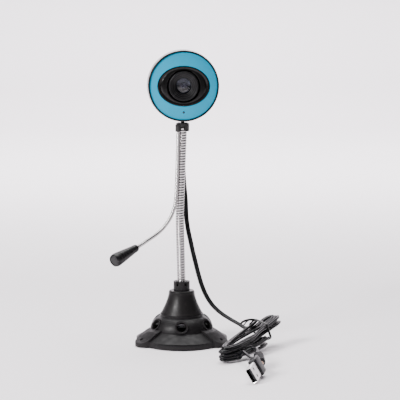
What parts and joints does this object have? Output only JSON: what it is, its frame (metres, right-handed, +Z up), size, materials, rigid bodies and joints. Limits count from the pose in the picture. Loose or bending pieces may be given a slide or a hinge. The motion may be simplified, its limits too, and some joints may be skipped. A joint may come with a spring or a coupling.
{
  "type": "webcam on tripod",
  "caption": "Desk webcam: round head with a focusing lens on a bendable hose over a three-footed weighted base, with a side microphone on its own thin hose and a tied cord.",
  "frame": {"origin": "centre of the rubber pad's underside, on the base's axis, on the table", "axes": "+Z up along the gooseneck, the lens looks towards -Y, the microphone hangs on the -X side"},
  "size_m": [0.1466, 0.2064, 0.2492],
  "materials": {
    "base_black": "fine matte",
    "cone_black": "fine matte",
    "weight_iron": "as cast",
    "pad_rubber": "foam rubber",
    "screw_steel": "satin",
    "hose_chrome": "bright",
    "neck_black": "satin",
    "shell_silver": "satin silver",
    "bezel_black": "gloss",
    "face_blue": "gloss",
    "surround_black": "high gloss",
    "lens_black": "satin",
    "lens_glass": "coated",
    "filter_glass": "coated",
    "sensor_dark": "gloss",
    "board_green": "solder mask",
    "connector_white": "matte",
    "led_dark": "tinted",
    "mic_black": "satin",
    "mic_metal": "satin",
    "cord_black": "satin vinyl",
    "tie_black": "satin",
    "plug_black": "satin",
    "plug_metal": "bright",
    "pin_gold": "bright"
  },
  "bodies": {
    "base": {"base_shell": "base_black", "base_cone": "cone_black", "hose_collet": "base_black", "hose_ferrule": "screw_steel", "hose_nut": "screw_steel", "base_weight": "weight_iron", "base_plate": "base_black", "base_pad": "pad_rubber", "base_screws": "screw_steel", "hose_lower": "hose_chrome", "cord_drop": "cord_black", "cord_hank": "cord_black", "cord_tie": "tie_black", "usb_lead": "cord_black", "usb_overmould": "plug_black", "usb_shell": "plug_metal", "usb_tongue": "plug_black", "audio_lead": "cord_black", "audio_overmould": "plug_black", "audio_pin": "pin_gold", "audio_rings": "plug_black"},
    "hose_mid": {"hose_middle": "hose_chrome"},
    "neck": {"hose_upper": "hose_chrome", "neck_collar": "neck_black", "cord_gland": "cord_black", "mic_hose_root": "hose_chrome"},
    "swivel": {"swivel_cup": "neck_black", "tilt_pin": "screw_steel"},
    "head": {"head_stem": "neck_black", "head_shell": "shell_silver", "head_bezel": "bezel_black", "head_screws": "screw_steel", "face_disc": "face_blue", "lens_surround": "surround_black", "lens_socket": "lens_black", "ir_filter": "filter_glass", "image_sensor": "sensor_dark", "sensor_board": "board_green", "board_connector": "connector_white", "board_screws": "screw_steel", "indicator_lens": "led_dark"},
    "focus": {"focus_ring": "lens_black", "lens_barrel": "lens_black", "lens_front": "lens_glass", "lens_rear": "lens_glass"},
    "mic_bend": {"mic_hose_bend": "hose_chrome"},
    "mic_arm": {"mic_hose_arm": "hose_chrome"},
    "mic": {"mic_body": "mic_black", "mic_grille": "mic_black", "mic_element": "mic_metal"}
  },
  "joints": [
    {"name": "neck_pitch", "type": "hinge", "parent": "base", "child": "hose_mid", "pos_m": [-0.0006, 0, 0.072], "axis": [1, 0, 0], "range_deg": [-25, 25], "deforming": ["cord_drop"]},
    {"name": "neck_roll", "type": "hinge", "parent": "hose_mid", "child": "neck", "pos_m": [-0.0015, 0, 0.104], "axis": [0, 1, 0], "range_deg": [-25, 25]},
    {"name": "head_pan", "type": "hinge", "parent": "neck", "child": "swivel", "pos_m": [0.001, 0, 0.1864], "axis": [0, 0, 1], "range_deg": [-80, 80]},
    {"name": "head_tilt", "type": "hinge", "parent": "swivel", "child": "head", "pos_m": [0.001, 0, 0.1864], "axis": [-0.9976, -0.0698, 0], "range_deg": [-12, 25]},
    {"name": "focus_turn", "type": "hinge", "parent": "head", "child": "focus", "pos_m": [0.001, 0, 0.219], "axis": [0.0698, -0.9976, 0], "range_deg": [-150, 150]},
    {"name": "mic_swing", "type": "hinge", "parent": "neck", "child": "mic_bend", "pos_m": [-0.0043, -0.0045, 0.1301], "axis": [0, 0, 1], "range_deg": [-50, 50]},
    {"name": "mic_raise", "type": "hinge", "parent": "mic_bend", "child": "mic_arm", "pos_m": [-0.0066, -0.0058, 0.1145], "axis": [-0.5751, 0.8181, 0], "range_deg": [-10, 45]},
    {"name": "mic_aim", "type": "hinge", "parent": "mic_arm", "child": "mic", "pos_m": [-0.0359, -0.0264, 0.086], "axis": [-0.7312, 0.6822, 0], "range_deg": [-35, 35]}
  ]
}
